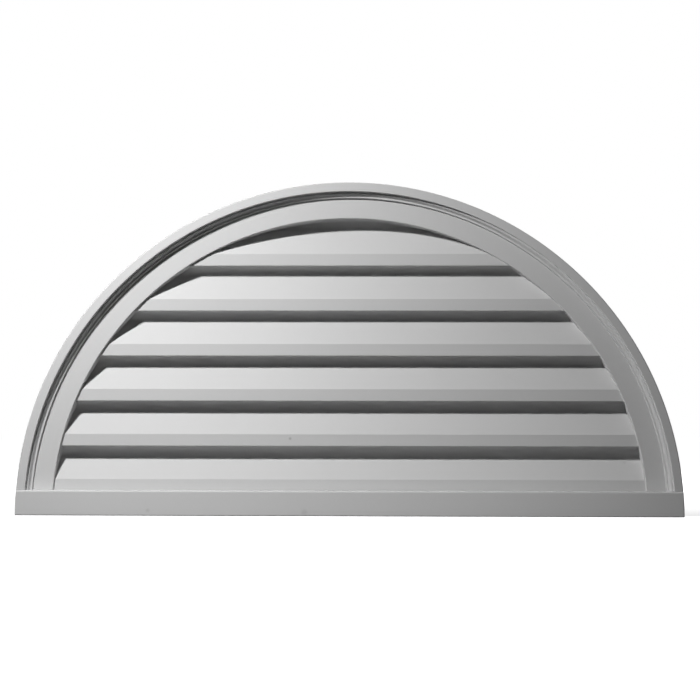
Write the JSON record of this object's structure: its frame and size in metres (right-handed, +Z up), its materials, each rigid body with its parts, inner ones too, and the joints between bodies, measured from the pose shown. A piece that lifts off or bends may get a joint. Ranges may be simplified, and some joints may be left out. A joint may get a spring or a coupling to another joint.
{
  "type": "gable vent",
  "caption": "Half-round decorative gable vent cast in one piece: stepped arch moulding, flat band, horizontal louvres in front of a closed back, and a plain sill along the base.",
  "frame": {"origin": "middle of the base line in the wall plane, which is the centre of the half circle", "axes": "+X along the base, +Y into the wall, +Z up; the louvred front faces -Y"},
  "size_m": [0.9144, 0.0508, 0.4571],
  "materials": {
    "primed_urethane": "smooth factory primer on moulded rigid urethane, matt, neutral pale grey, ready for paint"
  },
  "bodies": {
    "root": {"gable_vent": "primed_urethane"}
  },
  "joints": []
}
